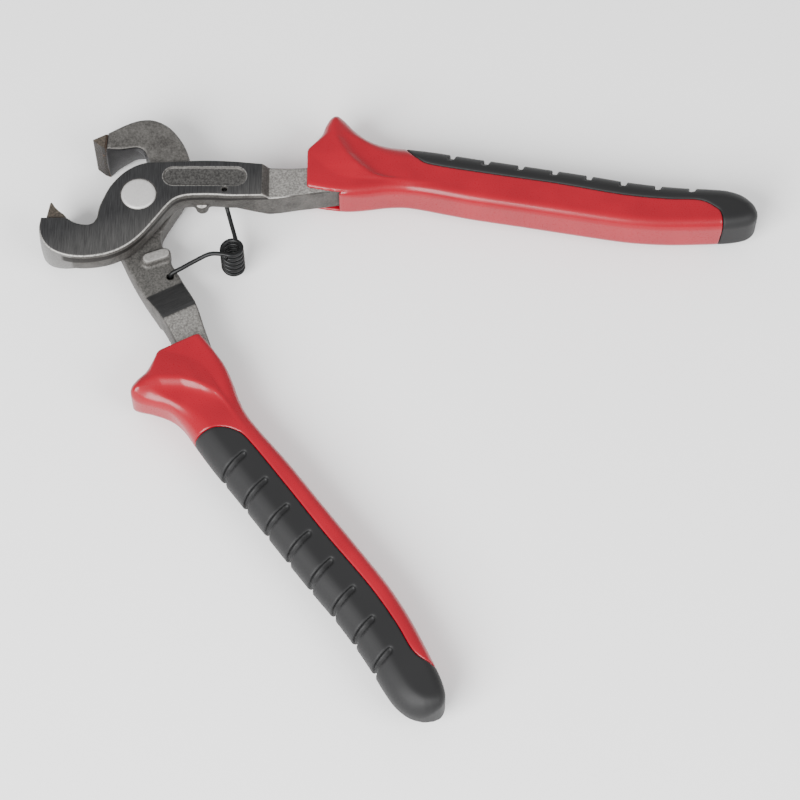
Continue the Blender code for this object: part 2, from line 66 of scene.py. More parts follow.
FRONT_BODY, REAR_BODY = "front_lever_body", "rear_lever_body"

# ---------------------------------------------------------------- places from the frame and the CAD's sizes

rivet_low, rivet_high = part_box("pivot_rivet")
LAP_Z = (rivet_low.z + rivet_high.z) / 2
HEAD_TOP = (rivet_high.z - LAP_Z) / MM
HEAD_STANDS = 0.4
HUB_TOP = HEAD_TOP - HEAD_STANDS
RIVET_RADIUS = (rivet_high.x - rivet_low.x) / 2 / MM
OPEN_ANGLE = 63.0
LAP_GAP = 0.15

FRONT_FRAME = Matrix.Translation((0, 0, LAP_Z))
REAR_FRAME = (Matrix.Translation((0, 0, LAP_Z)) @ Matrix.Rotation(-math.radians(OPEN_ANGLE), 4, "Z")
              @ Matrix.Rotation(math.pi, 4, "X"))

# The inserts' two faces, and the neck's, whose far face slopes away from the lap between two values of x.
TIP_LOW, TIP_HIGH = -10.2, 7.2
NECK_HIGH, NECK_LOW = 5.8, -4.0
NECK_START, NECK_FULL = 30.5, 40.5
# The near face steps down from the hub to the neck at STEP_X.  The tang is drawn only up to TANG_SHOWN.
STEP_X = 38.6
TANG_SHOWN = 66.0
SPRING_HOLE = (26.9, 1.9)
SPRING_HOLE_SHIFT = {"front": (0, 0), "rear": (0.12, 0.31)}
SPRING_HOLE_RADIUS = {"front": 0.9, "rear": 1.15}


# ---------------------------------------------------------------- shapes as distance fields

RUN_STEPS = 5


def flowing(knots):
    """A smooth open run through the knots (Catmull-Rom), as an array of points, RUN_STEPS to a knot."""
    points = np.array(knots, float)
    padded = np.vstack([2 * points[0] - points[1], points, 2 * points[-1] - points[-2]])
    run = []
    for a, b, c, d in zip(padded, padded[1:], padded[2:], padded[3:]):
        for t in np.arange(RUN_STEPS) / RUN_STEPS:
            run.append(0.5 * (2 * b + (c - a) * t + (2 * a - 5 * b + 4 * c - d) * t ** 2
                              + (3 * b - a - 3 * c + d) * t ** 3))
    return np.array(run + [points[-1]])


def outline_distance(outline, x, y):
    """Signed distance to a closed outline, negative inside."""
    x, y = np.broadcast_arrays(x, y)
    nearest = np.full(x.shape, 1e9, np.float32)
    inside = np.zeros(x.shape, bool)
    for (ax, ay), (bx, by) in zip(outline, np.roll(outline, -1, axis=0)):
        ex, ey = bx - ax, by - ay
        if ex == 0 and ey == 0:
            continue
        px, py = x - ax, y - ay
        along = np.clip((px * ex + py * ey) / (ex * ex + ey * ey), 0, 1)
        nearest = np.minimum(nearest, (px - along * ex) ** 2 + (py - along * ey) ** 2)
        if ey != 0:
            inside ^= ((ay <= y) != (by <= y)) & (x < ax + (y - ay) * ex / ey)
    distance = np.sqrt(nearest)
    return np.where(inside, -distance, distance)


def both(a, b, radius=0.0):
    """Where both shapes are, with the edge between them rounded."""
    if radius == 0:
        return np.maximum(a, b)
    near = np.maximum(radius - np.abs(a - b), 0) / radius
    return np.maximum(a, b) + near * near * radius / 4


def either(a, b, radius=0.0):
    """Where one shape or the other is, with the corner between them filled."""
    return -both(-a, -b, radius)


def without(a, b, radius=0.0):
    """The first shape with the second cut out of it."""
    return both(a, -b, radius)


def ease(value, start, end):
    """Goes smoothly from 0 to 1 as the value goes from start to end."""
    share = np.clip((value - start) / (end - start), 0, 1)
    return share * share * (3 - 2 * share)


def slot_distance(x, y, start, end, radius):
    """Distance to a round-ended slot between two points."""
    ex, ey = end[0] - start[0], end[1] - start[1]
    px, py = x - start[0], y - start[1]
    along = np.clip((px * ex + py * ey) / (ex * ex + ey * ey), 0, 1)
    return np.hypot(px - along * ex, py - along * ey) - radius


def net(field, low, high, cell):
    """The field's zero surface as (points, quads): one point in each cell that the surface crosses,
    then moved onto the surface along the field's slope."""
    axes = [np.arange(a - cell, b + 2 * cell, cell, dtype=np.float32) for a, b in zip(low, high)]
    values = field(axes[0][:, None, None], axes[1][None, :, None], axes[2][None, None, :]).astype(np.float32)
    values = np.broadcast_to(values, [len(a) for a in axes])
    inside = values < 0
    shape = np.array(values.shape)
    cells = shape - 1
    corner = [slice(None, -1), slice(1, None)]
    count = sum(inside[corner[i], corner[j], corner[k]].astype(np.int8)
                for i in (0, 1) for j in (0, 1) for k in (0, 1))
    active = (count > 0) & (count < 8)
    where = np.argwhere(active)
    number = np.full(cells, -1, np.int64)
    number[active] = np.arange(len(where))
    total = np.zeros((len(where), 3))
    crossings = np.zeros(len(where))
    for axis in range(3):
        others = [a for a in range(3) if a != axis]
        step = np.zeros(3, int)
        step[axis] = 1
        for i in (0, 1):
            for j in (0, 1):
                start = where.copy()
                start[:, others[0]] += i
                start[:, others[1]] += j
                a = values[tuple(start.T)]
                b = values[tuple((start + step).T)]
                crossed = (a < 0) != (b < 0)
                share = np.where(crossed, a / np.where(crossed, a - b, 1), 0)
                point = start + share[:, None] * step
                total += np.where(crossed[:, None], point, 0)
                crossings += crossed
    origin = np.array([a[0] for a in axes])
    points = origin + cell * total / crossings[:, None]
    quads = []
    for axis in range(3):
        u, v = [(1, 2), (2, 0), (0, 1)][axis]
        first = [slice(None)] * 3
        second = [slice(None)] * 3
        first[axis], second[axis] = corner
        changed = inside[tuple(first)] != inside[tuple(second)]
        edges = np.argwhere(changed)
        edges = edges[((edges[:, [u, v]] > 0) & (edges[:, [u, v]] < cells[[u, v]])).all(axis=1)]
        outward = inside[tuple(edges.T)]
        du, dv = np.eye(3, dtype=int)[u], np.eye(3, dtype=int)[v]
        ring = np.stack([number[tuple((edges - shift).T)] for shift in (du + dv, dv, 0 * du, du)], axis=1)
        quads.append(np.where(outward[:, None], ring, ring[:, ::-1]))
    quads = np.vstack(quads)
    settling_passes = 2
    for _ in range(settling_passes):
        points = settle(field, points, cell / 2)
    return points, quads


def settle(field, points, most):
    """Moves points onto the field's zero surface, by no more than a given distance."""
    step = 0.02
    least_steep = 0.25
    columns = [points[:, i] for i in range(3)]
    here = field(*columns)
    slope = np.empty_like(points)
    for axis in range(3):
        ahead = [c + (step if i == axis else 0) for i, c in enumerate(columns)]
        behind = [c - (step if i == axis else 0) for i, c in enumerate(columns)]
        slope[:, axis] = (field(*ahead) - field(*behind)) / (2 * step)
    steep = np.maximum((slope ** 2).sum(axis=1), least_steep)
    move = -(here / steep)[:, None] * slope
    length = np.linalg.norm(move, axis=1, keepdims=True)
    return points + move * np.minimum(1, most / np.maximum(length, 1e-9))


# ---------------------------------------------------------------- meshes and pieces

def mesh_from(name, points, faces, frame_matrix):
    """A smooth-shaded mesh, in metres and in the CAD's frame, from points in millimetres."""
    mesh = bpy.data.meshes.new(name)
    mesh.vertices.add(len(points))
    mesh.vertices.foreach_set("co", (np.asarray(points, np.float32) * MM).ravel())
    faces = np.asarray(faces)
    mesh.loops.add(faces.size)
    mesh.polygons.add(len(faces))
    mesh.polygons.foreach_set("loop_start", np.arange(0, faces.size, faces.shape[1]))
    mesh.loops.foreach_set("vertex_index", faces.ravel())
    mesh.update(calc_edges=True)
    mesh.validate()
    mesh.transform(frame_matrix)
    mesh.shade_smooth()
    return mesh


def piece(name, mesh, body, slot, *looks):
    """A visible piece that stands for the CAD node of its name and rides on that node's body."""
    obj = bpy.data.objects.new(name + "_surface", mesh)
    SCENE.collection.objects.link(obj)
    for look in looks:
        mesh.materials.append(look)
    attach(obj, body)
    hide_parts(name)


# ---------------------------------------------------------------- materials

# Two outputs of a Texture Coordinate node, and the scale that turns metres into millimetres.
COORDINATES_NORMAL, COORDINATES_OBJECT = 1, 3
IN_MILLIMETRES = (1 / MM, 1 / MM, 1 / MM)
# Nearly all of a noise texture's values lie in this range.
NOISE_RANGE = (0.3, 0.7)


class Nodes:
    """A short way to write a material's nodes: values are numbers, colours or other nodes' outputs."""

    def __init__(self, name):
        self.material = bpy.data.materials.new(name)
        self.material.use_nodes = True
        self.tree = self.material.node_tree
        self.shader = self.tree.nodes["Principled BSDF"]

    def add(self, kind, output=0, **inputs):
        node = self.tree.nodes.new("ShaderNode" + kind)
        for key, value in inputs.items():
            self.feed(node.inputs[key.replace("_", " ")], value)
        return node.outputs[output]

    def feed(self, socket, value):
        if isinstance(value, bpy.types.NodeSocket):
            self.tree.links.new(value, socket)
        else:
            socket.default_value = value

    def place(self):
        """The object's coordinates in millimetres."""
        return self.add("Mapping", Vector=self.add("TexCoord", COORDINATES_OBJECT), Scale=IN_MILLIMETRES)

    def part(self, vector, axis):
        return self.add("SeparateXYZ", axis, Vector=vector)

    def normal(self, axis):
        """How far the surface faces along an axis of the object, from -1 to 1."""
        return self.part(self.add("TexCoord", COORDINATES_NORMAL), axis)

    def noise(self, vector, scale, detail, roughness):
        return self.add("TexNoise", Vector=vector, Scale=scale, Detail=detail, Roughness=roughness)

    def ramp(self, value, *stops):
        node = self.tree.nodes.new("ShaderNodeValToRGB")
        elements = node.color_ramp.elements
        while len(elements) < len(stops):
            elements.new(0.5)
        for element, (position, colour) in zip(elements, stops):
            element.position = position
            element.color = (*colour, 1) if isinstance(colour, tuple) else (colour, colour, colour, 1)
        self.feed(node.inputs[0], value)
        return node.outputs[0]

    def mix(self, share, first, second):
        node = self.tree.nodes.new("ShaderNodeMix")
        node.data_type = "RGBA"
        factor, colour_a, colour_b, result = node.inputs[0], node.inputs[6], node.inputs[7], node.outputs[2]
        self.feed(factor, share)
        self.feed(colour_a, (*first, 1) if isinstance(first, tuple) else first)
        self.feed(colour_b, (*second, 1) if isinstance(second, tuple) else second)
        return result

    def math(self, operation, *values):
        node = self.tree.nodes.new("ShaderNodeMath")
        node.operation = operation
        for socket, value in zip(node.inputs, values):
            self.feed(socket, value)
        return node.outputs[0]

    def between(self, value, low, high, to_low=0.0, to_high=1.0):
        """Maps low..high to to_low..to_high, in a straight line and with both ends held."""
        return self.add("MapRange", Value=value, From_Min=low, From_Max=high, To_Min=to_low, To_Max=to_high)

    def bump(self, height, strength, distance):
        return self.add("Bump", Height=height, Strength=strength, Distance=distance * MM)

    def finish(self, **sockets):
        """Feeds the shader's own sockets and gives the finished material."""
        for key, value in sockets.items():
            self.feed(self.shader.inputs[key.replace("_", " ")], value)
        return self.material


def linear(*srgb):
    """A colour given as 0-255 display values, as the linear values shaders take."""
    return tuple(((c / 255 + 0.055) / 1.055) ** 2.4 if c > 10 else c / 255 / 12.92 for c in srgb)


def plain_metal(name, colour, roughness, metallic, grain_scale, spread, bump):
    """A metal of one tone, broken up by a fine grain in its colour, gloss and surface."""
    n = Nodes(name)
    grain = n.noise(n.place(), grain_scale, detail=4.0, roughness=0.6)
    dark = tuple(c * (1 - spread) for c in colour)
    light = tuple(min(1, c * (1 + spread)) for c in colour)
    return n.finish(Base_Color=n.ramp(grain, (0.35, dark), (0.65, light)), Metallic=metallic,
                    Roughness=n.between(grain, *NOISE_RANGE, roughness - 0.06, roughness + 0.08),
                    Normal=n.bump(grain, bump, distance=0.05))


def moulded(name, colour, roughness, coat, grain_scale, bump):
    """Moulded plastic: an even colour, slightly uneven gloss, and the mould's faint grain."""
    n = Nodes(name)
    even = n.place()
    broad = n.noise(even, 0.08, detail=2.0, roughness=0.5)
    grain = n.noise(even, grain_scale, detail=3.0, roughness=0.6)
    dark = tuple(c * 0.93 for c in colour)
    light = tuple(min(1, c * 1.06) for c in colour)
    n.shader.inputs["Coat Weight"].default_value = coat
    n.shader.inputs["Coat Roughness"].default_value = 0.12
    n.shader.inputs["Specular IOR Level"].default_value = 0.35
    return n.finish(Base_Color=n.ramp(broad, (0.35, dark), (0.65, light)),
                    Roughness=n.between(grain, *NOISE_RANGE, roughness - 0.05, roughness + 0.06),
                    Normal=n.bump(grain, bump, distance=0.03))


# The blank panel's middle and half its middle line, its border's radius, and the forging's parting line.
PANEL_MIDDLE = (20.55, 6.65)
PANEL_HALF = 9.75
BORDER_RADIUS = 3.35
SEAM_Z = 6.0
# The middle of the painted shade on the rear jaw's hollow walls.
POCKET_SHADE_MIDDLE = (-16.5, -4.5)


def lever_steel(side):
    """Drop-forged steel with ground faces, told apart by place and slope in the lever's own frame, with
    painted highlights on the front's nose and edges and painted shade along its parting line, on the rear's
    ramp and in the rear jaw's hollow.
    """
    n = Nodes(side + "_lever_steel")
    turn = 0.0 if side == "front" else math.pi
    swing = 0.0 if side == "front" else -math.radians(OPEN_ANGLE)
    rise = -LAP_Z / MM if side == "front" else LAP_Z / MM
    local = n.add("Mapping", Vector=n.add("TexCoord", COORDINATES_OBJECT), Scale=IN_MILLIMETRES,
                  Rotation=(turn, 0, swing), Location=(0, 0, rise))
    x, y, z = (n.part(local, axis) for axis in range(3))
    up = n.normal(2)
    broad = n.noise(local, 0.22, detail=4.0, roughness=0.6)
    fine = n.noise(local, 1.6, detail=5.0, roughness=0.65)
    grain = n.noise(local, 4.5, detail=3.0, roughness=0.6)
    mottle = n.math("ADD", n.math("MULTIPLY", broad, 0.4), n.math("MULTIPLY", fine, 0.6))

    def tone(dark, light, low=0.38, high=0.62, of=mottle):
        return n.ramp(of, (low, linear(*dark)), (high, linear(*light)))

    def brushed(dark, light):
        return tone(dark, light, *NOISE_RANGE, scratches)

    def from_value(value, middle):
        """How far a value is from a given one, either way."""
        return n.math("ABSOLUTE", n.math("SUBTRACT", value, middle))

    def all_of(*masks):
        result = masks[0]
        for mask in masks[1:]:
            result = n.math("MULTIPLY", result, mask)
        return result

    stroke = n.add("Mapping", Vector=local, Scale=(1, 0.045, 1), Rotation=(0, 0, math.radians(3)))
    scratches = n.noise(stroke, 3.4, detail=5.0, roughness=0.7)
    near = n.between(up, 0.86, 0.95)
    wall = n.between(up, 0.62, 0.4)
    smooth = 0.0
    if side == "front":
        colour = tone((56, 54, 52), (92, 90, 87))
        panel = all_of(near, n.between(z, HUB_TOP - 0.2, HUB_TOP - 0.35), n.between(x, 37, 36))
        colour = n.mix(panel, colour, tone((52, 51, 50), (84, 83, 81), of=fine))
        neck = n.between(x, 38.5, 39.5)
        colour = n.mix(all_of(near, neck), colour, tone((104, 102, 99), (152, 150, 146), of=fine))
        ground = all_of(near, n.between(z, HUB_TOP - 0.3, HUB_TOP - 0.15), n.between(x, 39.2, 38.4))
        sweep = n.between(n.math("ADD", y, n.math("MULTIPLY", x, -0.35)), -4, -14)
        dark_ground = brushed((31, 31, 32), (62, 62, 63))
        pale_ground = brushed((54, 54, 54), (90, 89, 88))
        colour = n.mix(ground, colour, n.mix(sweep, dark_ground, pale_ground))
        # Painted highlight: the nose facet that faces the key lamp is painted lighter; the same mask also
        # gives it a smoother ground finish.
        nose_highlight = all_of(wall, n.between(x, -19.6, -20.4), n.between(y, -8.5, -10))
        colour = n.mix(nose_highlight, colour, brushed((84, 83, 82), (122, 121, 119)))
        # Painted shade: a dark line on the walls along the forging's parting line, standing in for the shade
        # of a groove that the shape does not have.
        seam_width = n.between(x, -21, 4, 1.15, 0.6)
        seam = n.between(n.math("SUBTRACT", from_value(z, SEAM_Z), seam_width), 0.15, -0.15)
        seam = all_of(seam, wall, n.between(x, -23.6, -22.4), n.between(y, 6, 4))
        colour = n.mix(seam, colour, linear(36, 34, 32))
        reach = n.math("MAXIMUM", n.math("SUBTRACT", from_value(x, PANEL_MIDDLE[0]), PANEL_HALF), 0.0)
        apart = n.math("SQRT", n.math("ADD", n.math("MULTIPLY", reach, reach),
                                      n.math("POWER", from_value(y, PANEL_MIDDLE[1]), 2.0)))
        border = all_of(n.between(from_value(apart, BORDER_RADIUS), 0.42, 0.18), near,
                        n.between(fine, 0.36, 0.56, 0.15, 0.8))
        colour = n.mix(border, colour, linear(150, 148, 145))
        # Painted highlight along the rounded near edges that face the lamps' side, broken up by the grain
        # like worn edges.
        rim_highlight = all_of(n.between(up, 0.42, 0.56), n.between(up, 0.95, 0.88), n.between(fine, 0.3, 0.5),
                     n.between(n.normal(1), 0.0, -0.3), n.between(y, 0.9, 0.4))
        colour = n.mix(n.math("MULTIPLY", rim_highlight, 0.7), colour, linear(184, 182, 178))
        smooth = n.math("ADD", ground, nose_highlight)
    else:
        colour = tone((62, 60, 58), (102, 100, 97))
        # Painted shade: the ramp up from the lap to the neck, which leans away from the lamps, is painted
        # dark; it is also given a smoother finish.
        ramp = all_of(n.between(x, 30.3, 30.9), n.between(x, 42.4, 41.6), n.between(up, 0.7, 0.8))
        hub = all_of(near, n.between(x, 12, 14))
        colour = n.mix(hub, colour, tone((70, 69, 67), (98, 96, 93), of=fine))
        boss = all_of(n.between(z, -1.3, -1.8), n.between(x, 13, 14), n.between(x, 26, 25), near)
        colour = n.mix(boss, colour, tone((132, 130, 127), (164, 162, 159)))
        # Painted shade on the ramp.
        colour = n.mix(ramp, colour, brushed((38, 38, 39), (60, 60, 60)))
        neck = all_of(near, n.between(x, 41.6, 42.4))
        colour = n.mix(neck, colour, tone((98, 96, 93), (142, 140, 136), of=fine))
        # Painted shade: the walls of the rear jaw's hollow are painted dark, most near its middle; they are
        # also given a smoother finish.
        apart = n.math("SQRT", n.math("ADD", n.math("POWER", n.math("SUBTRACT", x, POCKET_SHADE_MIDDLE[0]), 2.0),
                                      n.math("POWER", n.math("SUBTRACT", y, POCKET_SHADE_MIDDLE[1]), 2.0)))
        pocket_shade = all_of(wall, n.between(apart, 11.5, 9.5))
        colour = n.mix(pocket_shade, colour, tone((30, 29, 30), (52, 51, 52)))
        smooth = n.math("ADD", ramp, pocket_shade)
    pits = n.math("MULTIPLY", n.between(grain, 0.6, 0.72), n.math("SUBTRACT", 1.0, smooth))
    colour = n.mix(n.math("MULTIPLY", pits, 0.3), colour, linear(64, 61, 58))
    height = n.mix(smooth, n.math("ADD", n.math("MULTIPLY", fine, 0.6), n.math("MULTIPLY", grain, 0.4)),
                   n.math("MULTIPLY", scratches, 0.25))
    roughness = n.math("SUBTRACT", n.between(fine, *NOISE_RANGE, 0.46, 0.62),
                       n.math("MULTIPLY", smooth, 0.12))
    return n.finish(Base_Color=colour, Metallic=0.6, Roughness=roughness,
                    Normal=n.bump(height, strength=0.6, distance=0.25))


def speckled_carbide():
    """Sintered carbide: granular and brown, with flecks of braze left on it."""
    n = Nodes("sintered_carbide")
    even = n.place()
    grain = n.noise(even, 1.8, detail=5.0, roughness=0.7)
    fleck = n.noise(even, 0.9, detail=4.0, roughness=0.75)
    # The walls are a darker copy of the faces' colour: painted shade on the sides, with the up-facing faces
    # left lighter.
    wall = n.ramp(grain, (0.34, linear(20, 17, 15)), (0.64, linear(46, 40, 35)))
    face = n.ramp(grain, (0.34, linear(48, 43, 38)), (0.64, linear(92, 84, 75)))
    colour = n.mix(n.between(n.normal(2), 0.4, 0.7), wall, face)
    colour = n.mix(n.between(fleck, 0.62, 0.7), colour, linear(92, 66, 48))
    return n.finish(Base_Color=colour, Metallic=0.55, Roughness=n.between(grain, *NOISE_RANGE, 0.42, 0.6),
                    Normal=n.bump(grain, strength=0.8, distance=0.3))


RIVET = plain_metal("rivet_head", linear(196, 194, 193), roughness=0.55, metallic=0.6, grain_scale=3.0,
                    spread=0.08, bump=0.12)
CARBIDE = speckled_carbide()
COPPER = plain_metal("braze_copper", linear(66, 54, 46), roughness=0.5, metallic=0.7, grain_scale=3.0,
                     spread=0.35, bump=0.4)
OXIDE = plain_metal("black_oxide", linear(17, 18, 19), roughness=0.42, metallic=0.5, grain_scale=3.0,
                    spread=0.15, bump=0.1)
RED = moulded("red_shell", linear(140, 0, 24), roughness=0.3, coat=0.1, grain_scale=3.0, bump=0.08)
BLACK = moulded("black_cushion", linear(20, 20, 21), roughness=0.58, coat=0.0, grain_scale=5.0, bump=0.2)


# ---------------------------------------------------------------- levers

LEVER_CELL = 0.35
NET_MARGIN = 0.5
INNER_EDGE = [(150, -4.6), (130, -1.2), (110, 2.0), (90, 4.2), (72, 4.0), (60, 2.4), (50, 1.0), (42, -0.2),
              (31, -0.5), (23, 0.0), (16.5, -0.1), (13.2, -0.7), (10.8, -2.0), (8.5, -4.6), (5.8, -8.5)]
OUTER_EDGE = [(2.6, 12.0), (10, 12.2), (20, 12.6), (29, 12.3), (38, 11.5), (48, 11.1), (60, 12.0),
              (74, 13.4), (90, 12.6), (110, 9.8), (130, 6.2), (150, 2.6)]
HUB_SIDE = [(-12.6, -8.4), (-12.1, -4.8), (-10.8, -1.0), (-8.8, 3.4), (-5.2, 7.9), (-1.2, 10.7), (2.6, 12.0)]

JAWS = {
    "front": {
        "back": [(5.8, -8.5), (1.2, -14.6), (-3.4, -18.8), (-9.0, -21.5), (-15.6, -22.6), (-21.6, -22.1),
                 (-26.4, -20.0), (-29.3, -16.6), (-30.5, -12.4)],
        "throat": [(-19.6, -10.2), (-16.2, -11.0), (-13.9, -10.4), (-12.6, -8.4)],
        "tip": (27.4, 185.3), "tip_turn": 0.0, "seat": (5.9, -2.9, 5.0),
        "top": HUB_TOP},
    "rear": {
        "back": [(5.8, -8.5), (2.6, -13.0), (-1.6, -17.6), (-5.6, -19.9), (-9.6, -20.6), (-14.6, -20.4),
                 (-19.6, -19.1), (-23.6, -16.2), (-25.6, -12.4), (-26.2, -7.6)],
        "throat": [(-18.6, -1.7), (-17.5, -4.6), (-16.7, -6.9), (-15.2, -8.3), (-13.9, -8.6), (-12.6, -8.4)],
        "far_throat": [(-21.9, -1.4), (-22.3, -4.9), (-22.3, -8.6), (-20.6, -11.8), (-17.6, -13.2),
                       (-14.2, -12.6), (-12.6, -8.4)],
        "tip": (25.9, 170.3), "tip_turn": 30.0, "seat": (4.6, -3.0, 2.8),
        "top": -TIP_LOW},
}

LAP_RADIUS = 12.4
LAP_END = {"front": 20, "rear": 11}
NEAR_ROUNDING, FAR_ROUNDING = 0.7, 0.9
SIDE_BULGE = 0.5
# The front jaw's far side ramps down to the insert's full width: (distance towards the mouth, z).
FLARE_TOWARD = math.radians(139.4)
FLARE = [(-60, LAP_GAP), (0, LAP_GAP), (6, -3.0), (12, -6.6), (14, TIP_LOW)]
# The wall that the front hub turns against, on the rear lever.
WALL_TOWARD = math.radians(205.1)
WALL_REACH, WALL_SIDE, WALL_END = 12.15, 16.2, 12.0
THROAT_CORNER = (-14.2, -8.5)
# The rear jaw thickens along this direction, over this distance.
THICKER_TOWARD = (-0.556, 0.831)
THICKER_OVER = (5, 13)
STOP_BOSS = ((18.9, 5.9), (19.5, 0.7), 2.1)
STOP_BOSS_LOW, STOP_BOSS_HIGH = -2.05, 2.0
SHANK_STEP, HEAD_GAP, HEAD_SEAT = 0.9, 0.05, 6.9
PANEL_SLOT = ((10.8, 6.8), (30.3, 6.5), 3.2)
PANEL_DEPTH = 0.45


def tip_point(jaw, across, along):
    """A point of an insert's profile: across the seat from the cutting edge, and towards the seat."""
    radius, degrees = jaw["tip"]
    angle = math.radians(degrees)
    turn = math.radians(jaw["tip_turn"])
    return (radius * math.cos(angle) + across * math.cos(turn) + along * math.sin(turn),
            radius * math.sin(angle) + across * math.sin(turn) - along * math.cos(turn))


def lever_outline(jaw, which="throat"):
    """The lever's outline, with the throat as it is at the near face or, on the rear jaw, at the far one."""
    depth, outer_end, inner_end = jaw["seat"]
    back = flowing(jaw["back"] + [tip_point(jaw, outer_end, depth)])
    throat = flowing([tip_point(jaw, inner_end, depth)] + jaw[which])
    return np.vstack([flowing(INNER_EDGE)[:-1], back, throat[:-1], flowing(HUB_SIDE)[:-1],
                      flowing(OUTER_EDGE)])


def lever_field(side):
    jaw = JAWS[side]
    outline = lever_outline(jaw)
    far_outline = lever_outline(jaw, "far_throat") if "far_throat" in jaw else None
    flare_along, flare_z = np.array(FLARE).T
    toward = FLARE_TOWARD if side == "front" else WALL_TOWARD
    corner_x, corner_y = THROAT_CORNER
    hole_x, hole_y = np.array(SPRING_HOLE) + SPRING_HOLE_SHIFT[side]

    def field(x, y, z):
        edge = outline_distance(outline, x, y)
        if far_outline is not None:
            drafted = np.clip((z + TIP_HIGH) / (TIP_HIGH - TIP_LOW), 0, 1)
            edge = edge + (outline_distance(far_outline, x, y) - edge) * drafted
        along = x * math.cos(toward) + y * math.sin(toward)
        across = y * math.cos(toward) - x * math.sin(toward)
        hub = np.hypot(x, y)
        sloped = np.clip((x - NECK_START) / (NECK_FULL - NECK_START), 0, 1)
        neck_low = LAP_GAP + (NECK_LOW - LAP_GAP) * sloped
        outside_hub = ease(hub, LAP_RADIUS, LAP_RADIUS + 0.8) * ease(across, -16.5, -15.5)
        if side == "front":
            low = LAP_GAP + (np.interp(along, flare_along, flare_z) - LAP_GAP) * outside_hub
        else:
            low = -TIP_HIGH
        low = np.where(x > LAP_END[side], neck_low, low)
        high = HUB_TOP - (HUB_TOP - NECK_HIGH) * ease(x, STEP_X - 0.4, STEP_X + 2.6)
        thicker = ease(THICKER_TOWARD[0] * x + THICKER_TOWARD[1] * y, *THICKER_OVER)
        high = high + (jaw["top"] - HUB_TOP) * thicker * outside_hub
        middle, half = (high + low) / 2, (high - low) / 2
        # The side is left flat by the coil, which comes close to it when the handles are shut.
        coil_side = ease(x, 26, 34) * ease(-y, -7, -4)
        bulge = SIDE_BULGE * (1 - coil_side) * (1 - np.clip((z - middle) / half, -1, 1) ** 2)
        body = both(edge - bulge, z - high, NEAR_ROUNDING)
        body = both(body, low - z, FAR_ROUNDING)
        if side == "rear":
            recess = np.minimum(np.minimum(hub - LAP_RADIUS, along - WALL_REACH), across + WALL_SIDE)
            recess = np.minimum(recess, both(corner_y - y, corner_x - x))
            body = without(body, both(both(recess, x - WALL_END), z - LAP_GAP), 0.15)
        boss = both(slot_distance(x, y, *STOP_BOSS), STOP_BOSS_LOW - z, 1.1)
        body = either(body, both(boss, z - STOP_BOSS_HIGH), 1.2)
        body = without(body, hub - RIVET_RADIUS + SHANK_STEP)
        body = without(body, both(hub - RIVET_RADIUS - HEAD_GAP, HEAD_SEAT - z), 0.12)
        hole = np.hypot(x - hole_x, y - hole_y)
        body = without(body, hole - SPRING_HOLE_RADIUS[side], 0.1)
        if side == "front":
            panel = both(slot_distance(x, y, *PANEL_SLOT), HUB_TOP - PANEL_DEPTH - z, 0.3)
            body = without(body, panel, 0.3)
        return both(body, x - TANG_SHOWN)

    return field


def make_lever(side, frame_matrix, body, look):
    name = side + "_lever"
    low = (-32, -25, (TIP_LOW if side == "front" else -TIP_HIGH) - NET_MARGIN)
    high = (TANG_SHOWN + NET_MARGIN, 15, JAWS[side]["top"] + NET_MARGIN)
    points, faces = net(lever_field(side), low, high, LEVER_CELL)
    piece(name, mesh_from(name, points, faces, frame_matrix), body, "forged_steel", look)


# ---------------------------------------------------------------- grips

GRIP_CELL = 0.5
GRIP_OUTER = [(46.0, 12.2), (50.0, 15.2), (52.6, 17.7), (55.0, 20.4), (57.1, 23.8), (58.4, 27.4),
              (60.0, 30.1), (62.3, 31.1), (64.8, 29.8), (68.0, 26.3), (72.0, 22.8), (77.0, 21.1),
              (84.0, 20.3), (94.0, 18.9), (104.0, 17.0), (124.0, 13.5), (143.0, 10.1), (153.0, 8.1),
              (163.0, 6.6), (172.0, 5.7), (180.0, 5.3), (186.0, 4.6), (190.9, 2.6), (193.9, -0.6),
              (194.7, -4.0)]
GRIP_INNER = [(194.7, -4.0), (194.2, -6.8), (191.8, -9.1), (187.0, -10.3), (181.0, -10.7), (175.0, -10.9),
              (167.0, -11.0), (159.0, -10.6), (151.0, -9.7), (136.0, -7.1), (121.0, -4.4), (106.0, -1.8),
              (98.0, -0.1), (91.0, 1.4), (84.0, 2.5), (78.0, 2.4), (72.0, 1.6), (66.0, 1.3), (60.0, 2.1),
              (54.0, 3.3), (46.0, 4.9)]
# The edge between shell and cushion, which leans over with z.
CUSHION_BORDER = [(84.0, 34.0), (84.1, 19.0), (85.4, 14.2), (88.4, 10.9), (93.0, 8.9), (111.4, 5.5),
                  (131.5, 2.1), (152.0, -2.0), (166.0, -3.6), (176.0, -4.0), (180.8, -6.4), (183.0, -9.6),
                  (183.4, -20.0)]
CUSHION_TILT = 0.38
SEAM_GAP, SEAM_ROUNDING = 0.06, 0.45
GROOVES = [99.4 + 10.8 * i for i in range(8)]
GROOVE_SLANT, GROOVE_RADIUS, GROOVE_DEPTH = 0.32, 1.05, 1.15
GROOVE_REACH, GROOVE_REACH_BY_Z = 5.6, 0.36
# Half the grip's thickness: along its length, at the mouth's rim, and in the thumb's hollow.
GRIP_HALF, RIM_HALF, HOLLOW_HALF = 7.2, 6.8, 6.5
RIDGE_RISE, RIDGE_WIDTH, FACET_LENGTH = 1.0, 2.8, 10.5
RIDGE = [(95.0, 4.5), (82.0, 6.4), (75.4, 7.2), (72.0, 8.4), (68.2, 11.6), (64.4, 15.9), (61.2, 21.9),
         (60.6, 26.0), (61.2, 33.0)]
